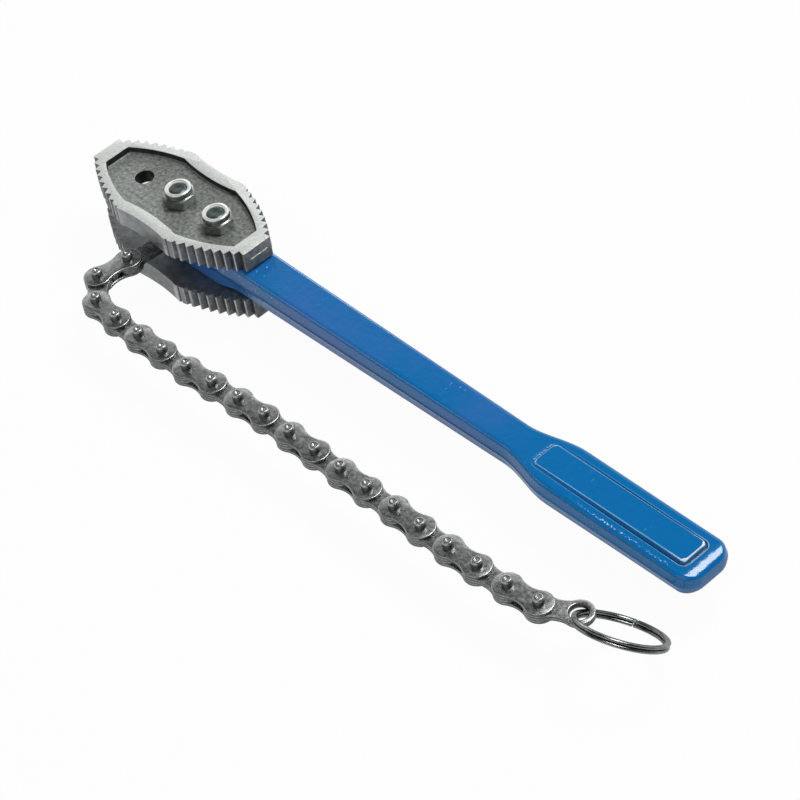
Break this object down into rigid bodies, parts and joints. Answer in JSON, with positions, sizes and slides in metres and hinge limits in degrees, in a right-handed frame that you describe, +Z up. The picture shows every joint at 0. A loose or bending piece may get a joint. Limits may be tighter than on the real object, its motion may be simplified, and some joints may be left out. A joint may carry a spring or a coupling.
{
  "type": "chain pipe wrench",
  "caption": "Reversible chain pipe wrench: two toothed lozenge jaws bolted to a forged handle, with a hinged pin chain anchored between them and a wire ring on its end.",
  "frame": {"origin": "middle of the spare bolt hole, halfway between the two jaws", "axes": "+X along the handle to the end of the grip, +Y away from the chain, +Z up through the bolts to the nuts"},
  "size_m": [0.4573, 0.1072, 0.054],
  "materials": {
    "blue_enamel": "gloss enamel over a drop forging",
    "forged_jaw": "heat-treated forging with ground rims",
    "zinc_bolt": "bright zinc plate",
    "zinc_nut": "bright zinc plate",
    "nylon": "natural nylon",
    "chain_plate": "oiled, heat-treated",
    "chain_pin": "ground, oiled",
    "ring_wire": "drawn wire"
  },
  "bodies": {
    "wrench": {"handle": "blue_enamel", "upper_jaw": "forged_jaw", "lower_jaw": "forged_jaw", "chain_bolt": "zinc_bolt", "handle_bolt": "zinc_bolt", "lock_nuts": "zinc_nut", "nut_inserts": "nylon"},
    "anchor": {"anchor_link": "chain_plate"},
    "outer_link_01": {"outer_plates_01": "chain_plate", "pins_01": "chain_pin"},
    "inner_link_01": {"inner_plates_01": "chain_plate"},
    "outer_link_02": {"outer_plates_02": "chain_plate", "pins_02": "chain_pin"},
    "inner_link_02": {"inner_plates_02": "chain_plate"},
    "outer_link_03": {"outer_plates_03": "chain_plate", "pins_03": "chain_pin"},
    "inner_link_03": {"inner_plates_03": "chain_plate"},
    "outer_link_04": {"outer_plates_04": "chain_plate", "pins_04": "chain_pin"},
    "inner_link_04": {"inner_plates_04": "chain_plate"},
    "outer_link_05": {"outer_plates_05": "chain_plate", "pins_05": "chain_pin"},
    "inner_link_05": {"inner_plates_05": "chain_plate"},
    "outer_link_06": {"outer_plates_06": "chain_plate", "pins_06": "chain_pin"},
    "inner_link_06": {"inner_plates_06": "chain_plate"},
    "outer_link_07": {"outer_plates_07": "chain_plate", "pins_07": "chain_pin"},
    "inner_link_07": {"inner_plates_07": "chain_plate"},
    "outer_link_08": {"outer_plates_08": "chain_plate", "pins_08": "chain_pin"},
    "inner_link_08": {"inner_plates_08": "chain_plate"},
    "outer_link_09": {"outer_plates_09": "chain_plate", "pins_09": "chain_pin"},
    "inner_link_09": {"inner_plates_09": "chain_plate"},
    "outer_link_10": {"outer_plates_10": "chain_plate", "pins_10": "chain_pin"},
    "tail_link": {"end_link": "chain_plate"},
    "ring": {"end_ring": "ring_wire"}
  },
  "joints": [
    {"name": "anchor_swing", "type": "hinge", "parent": "wrench", "child": "anchor", "pos_m": [0.031, 0, 0], "axis": [0, 0, 1], "range_deg": [-30, 2]},
    {"name": "chain_hinge_01", "type": "hinge", "parent": "anchor", "child": "outer_link_01", "pos_m": [0.02764, -0.03845, 0], "axis": [0, 0, -1], "range_deg": [-2, 30]},
    {"name": "chain_hinge_02", "type": "hinge", "parent": "outer_link_01", "child": "inner_link_01", "pos_m": [0.02531, -0.05736, 0], "axis": [0, 0, 1], "range_deg": [-30, 2]},
    {"name": "chain_hinge_03", "type": "hinge", "parent": "inner_link_01", "child": "outer_link_02", "pos_m": [0.03969, -0.06986, 0], "axis": [0, 0, -1], "range_deg": [-2, 30]},
    {"name": "chain_hinge_04", "type": "hinge", "parent": "outer_link_02", "child": "inner_link_02", "pos_m": [0.05867, -0.07152, 0], "axis": [0, 0, 1], "range_deg": [-30, 2]},
    {"name": "chain_hinge_05", "type": "hinge", "parent": "inner_link_02", "child": "outer_link_03", "pos_m": [0.07772, -0.07185, 0], "axis": [0, 0, -1], "range_deg": [-2, 30]},
    {"name": "chain_hinge_06", "type": "hinge", "parent": "outer_link_03", "child": "inner_link_03", "pos_m": [0.09676, -0.07152, 0], "axis": [0, 0, 1], "range_deg": [-30, 2]},
    {"name": "chain_hinge_07", "type": "hinge", "parent": "inner_link_03", "child": "outer_link_04", "pos_m": [0.11581, -0.07119, 0], "axis": [0, 0, -1], "range_deg": [-2, 30]},
    {"name": "chain_hinge_08", "type": "hinge", "parent": "outer_link_04", "child": "inner_link_04", "pos_m": [0.13481, -0.06986, 0], "axis": [0, 0, 1], "range_deg": [-30, 2]},
    {"name": "chain_hinge_09", "type": "hinge", "parent": "inner_link_04", "child": "outer_link_05", "pos_m": [0.15384, -0.06886, 0], "axis": [0, 0, -1], "range_deg": [-3, 30]},
    {"name": "chain_hinge_10", "type": "hinge", "parent": "outer_link_05", "child": "inner_link_05", "pos_m": [0.17286, -0.06786, 0], "axis": [0, 0, 1], "range_deg": [-30, 3]},
    {"name": "chain_hinge_11", "type": "hinge", "parent": "inner_link_05", "child": "outer_link_06", "pos_m": [0.19191, -0.06786, 0], "axis": [0, 0, -1], "range_deg": [-3, 30]},
    {"name": "chain_hinge_12", "type": "hinge", "parent": "outer_link_06", "child": "inner_link_06", "pos_m": [0.21096, -0.06786, 0], "axis": [0, 0, 1], "range_deg": [-30, 4]},
    {"name": "chain_hinge_13", "type": "hinge", "parent": "inner_link_06", "child": "outer_link_07", "pos_m": [0.23001, -0.0682, 0], "axis": [0, 0, -1], "range_deg": [-4, 30]},
    {"name": "chain_hinge_14", "type": "hinge", "parent": "outer_link_07", "child": "inner_link_07", "pos_m": [0.24906, -0.0682, 0], "axis": [0, 0, 1], "range_deg": [-30, 5]},
    {"name": "chain_hinge_15", "type": "hinge", "parent": "inner_link_07", "child": "outer_link_08", "pos_m": [0.26811, -0.0682, 0], "axis": [0, 0, -1], "range_deg": [-5, 30]},
    {"name": "chain_hinge_16", "type": "hinge", "parent": "outer_link_08", "child": "inner_link_08", "pos_m": [0.28716, -0.06853, 0], "axis": [0, 0, 1], "range_deg": [-30, 6]},
    {"name": "chain_hinge_17", "type": "hinge", "parent": "inner_link_08", "child": "outer_link_09", "pos_m": [0.30621, -0.06853, 0], "axis": [0, 0, -1], "range_deg": [-8, 30]},
    {"name": "chain_hinge_18", "type": "hinge", "parent": "outer_link_09", "child": "inner_link_09", "pos_m": [0.32525, -0.0682, 0], "axis": [0, 0, 1], "range_deg": [-30, 10]},
    {"name": "chain_hinge_19", "type": "hinge", "parent": "inner_link_09", "child": "outer_link_10", "pos_m": [0.34428, -0.0672, 0], "axis": [0, 0, -1], "range_deg": [-13, 30]},
    {"name": "chain_hinge_20", "type": "hinge", "parent": "outer_link_10", "child": "tail_link", "pos_m": [0.36325, -0.06554, 0], "axis": [0, 0, 1], "range_deg": [-30, 20]},
    {"name": "ring_swing", "type": "hinge", "parent": "tail_link", "child": "ring", "pos_m": [0.38007, -0.0566, 0], "axis": [0, 0, -1], "range_deg": [-25, 25]}
  ]
}
